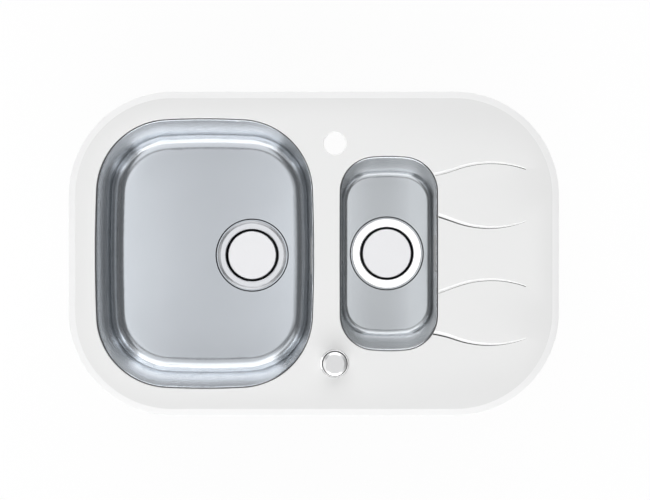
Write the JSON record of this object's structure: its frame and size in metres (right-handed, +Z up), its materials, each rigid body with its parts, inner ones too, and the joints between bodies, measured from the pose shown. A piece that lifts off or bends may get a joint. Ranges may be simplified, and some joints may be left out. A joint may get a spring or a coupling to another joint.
{
  "type": "kitchen sink",
  "caption": "Inset kitchen sink with a white glass top, a large and a small pressed steel bowl, a drainer, pop-up strainer waste and control knob.",
  "frame": {"origin": "centre of the glass outline on the underside of the glass", "axes": "+X along the top towards the drainer, +Y to the back, +Z up"},
  "size_m": [0.78, 0.515, 0.2958],
  "materials": {
    "white_glass": "white-backed safety glass, polished face and ground facet",
    "satin_stainless": "satin brushed",
    "polished_stainless": "polished",
    "chrome_plate": "satin chrome plate",
    "zinc_sheet": "zinc-coated sheet",
    "zinc_steel": "bright zinc plate",
    "brass_rod": "turned",
    "grey_seal": "matt sealant",
    "black_rubber": "matt",
    "black_pad": "matt bitumen pad",
    "moulded_plastic": "fine satin moulding",
    "black_plastic": "fine satin moulding"
  },
  "bodies": {
    "sink": {"glass_top": "white_glass", "rim_seal": "grey_seal", "carrier_tray": "zinc_sheet", "main_bead": "grey_seal", "half_bead": "grey_seal", "main_bowl": "satin_stainless", "half_bowl": "satin_stainless", "main_sound_pads": "black_pad", "half_sound_pads": "black_pad", "clip_studs": "zinc_steel", "main_overflow_cover": "polished_stainless", "main_overflow_gasket": "black_rubber", "main_overflow_body": "moulded_plastic", "main_overflow_pipe": "moulded_plastic", "half_overflow_cover": "polished_stainless", "half_overflow_gasket": "black_rubber", "half_overflow_body": "moulded_plastic", "half_overflow_pipe": "moulded_plastic", "main_waste_flange": "polished_stainless", "main_flange_seal": "black_rubber", "main_under_seal": "black_rubber", "main_waste_body": "moulded_plastic", "main_clamp_screw": "polished_stainless", "cable_gland": "black_plastic", "half_waste_flange": "polished_stainless", "half_flange_seal": "black_rubber", "half_under_seal": "black_rubber", "half_waste_body": "moulded_plastic", "half_clamp_screw": "polished_stainless", "knob_base": "chrome_plate", "knob_washer": "black_rubber", "knob_nut": "black_plastic", "knob_housing": "black_plastic", "housing_lid": "black_plastic"},
    "knob": {"control_knob": "chrome_plate", "knob_spindle": "brass_rod", "knob_grub_screw": "zinc_steel", "cable_drum": "black_plastic"},
    "lever": {"lift_lever": "brass_rod"},
    "pin": {"lift_pin": "brass_rod"},
    "main_strainer": {"main_basket": "polished_stainless", "main_plug_seal": "black_rubber"},
    "main_lid": {"main_cover": "polished_stainless"},
    "half_strainer": {"half_basket": "polished_stainless", "half_plug_seal": "black_rubber"},
    "half_lid": {"half_cover": "polished_stainless"},
    "nut_1": {"wing_nut_1": "zinc_steel"},
    "claw_1": {"clip_claw_1": "zinc_steel"},
    "nut_2": {"wing_nut_2": "zinc_steel"},
    "claw_2": {"clip_claw_2": "zinc_steel"},
    "nut_3": {"wing_nut_3": "zinc_steel"},
    "claw_3": {"clip_claw_3": "zinc_steel"},
    "nut_4": {"wing_nut_4": "zinc_steel"},
    "claw_4": {"clip_claw_4": "zinc_steel"},
    "nut_5": {"wing_nut_5": "zinc_steel"},
    "claw_5": {"clip_claw_5": "zinc_steel"},
    "nut_6": {"wing_nut_6": "zinc_steel"},
    "claw_6": {"clip_claw_6": "zinc_steel"}
  },
  "joints": [
    {"name": "knob_turn", "type": "hinge", "parent": "sink", "child": "knob", "pos_m": [0.0335, -0.175, 0.011], "axis": [0, 0, 1], "range_deg": [0, 90]},
    {"name": "lever_rock", "type": "hinge", "parent": "sink", "child": "lever", "pos_m": [-0.1035, -0.037, -0.2403], "axis": [1, 0, 0], "range_deg": [0, 16.5]},
    {"name": "pin_lift", "type": "slide", "parent": "sink", "child": "pin", "axis": [0, 0, 1], "range_m": [0, 0.01]},
    {"name": "main_basket_lift", "type": "slide", "parent": "pin", "child": "main_strainer", "axis": [0, 0, 1], "range_m": [0, 0.2]},
    {"name": "main_cover_lift", "type": "slide", "parent": "main_strainer", "child": "main_lid", "axis": [0, 0, 1], "range_m": [0, 0.2]},
    {"name": "half_basket_lift", "type": "slide", "parent": "sink", "child": "half_strainer", "axis": [0, 0, 1], "range_m": [0, 0.15]},
    {"name": "half_cover_lift", "type": "slide", "parent": "half_strainer", "child": "half_lid", "axis": [0, 0, 1], "range_m": [0, 0.15]},
    {"name": "nut_1_climb", "type": "slide", "parent": "sink", "child": "nut_1", "axis": [0, 0, 1], "range_m": [0, 0.016]},
    {"name": "claw_1_swing", "type": "hinge", "parent": "nut_1", "child": "claw_1", "pos_m": [-0.1911, 0.23455, -0.037], "axis": [0, 0, 1], "range_deg": [0, 90]},
    {"name": "nut_2_climb", "type": "slide", "parent": "sink", "child": "nut_2", "axis": [0, 0, 1], "range_m": [0, 0.016]},
    {"name": "claw_2_swing", "type": "hinge", "parent": "nut_2", "child": "claw_2", "pos_m": [0.0156, 0.23455, -0.037], "axis": [0, 0, 1], "range_deg": [0, 90]},
    {"name": "nut_3_climb", "type": "slide", "parent": "sink", "child": "nut_3", "axis": [0, 0, 1], "range_m": [0, 0.016]},
    {"name": "claw_3_swing", "type": "hinge", "parent": "nut_3", "child": "claw_3", "pos_m": [0.2067, 0.23455, -0.037], "axis": [0, 0, 1], "range_deg": [0, 90]},
    {"name": "nut_4_climb", "type": "slide", "parent": "sink", "child": "nut_4", "axis": [0, 0, 1], "range_m": [0, 0.016]},
    {"name": "claw_4_swing", "type": "hinge", "parent": "nut_4", "child": "claw_4", "pos_m": [-0.1911, -0.23455, -0.037], "axis": [0, 0, -1], "range_deg": [0, 90]},
    {"name": "nut_5_climb", "type": "slide", "parent": "sink", "child": "nut_5", "axis": [0, 0, 1], "range_m": [0, 0.016]},
    {"name": "claw_5_swing", "type": "hinge", "parent": "nut_5", "child": "claw_5", "pos_m": [0.0156, -0.23455, -0.037], "axis": [0, 0, -1], "range_deg": [0, 90]},
    {"name": "nut_6_climb", "type": "slide", "parent": "sink", "child": "nut_6", "axis": [0, 0, 1], "range_m": [0, 0.016]},
    {"name": "claw_6_swing", "type": "hinge", "parent": "nut_6", "child": "claw_6", "pos_m": [0.2067, -0.23455, -0.037], "axis": [0, 0, -1], "range_deg": [0, 90]}
  ],
  "couplings": [
    {"joint": "lever_rock", "follows": "knob_turn", "ratio": 0.1821},
    {"joint": "pin_lift", "follows": "knob_turn", "m_per_rad": 0.006366}
  ]
}
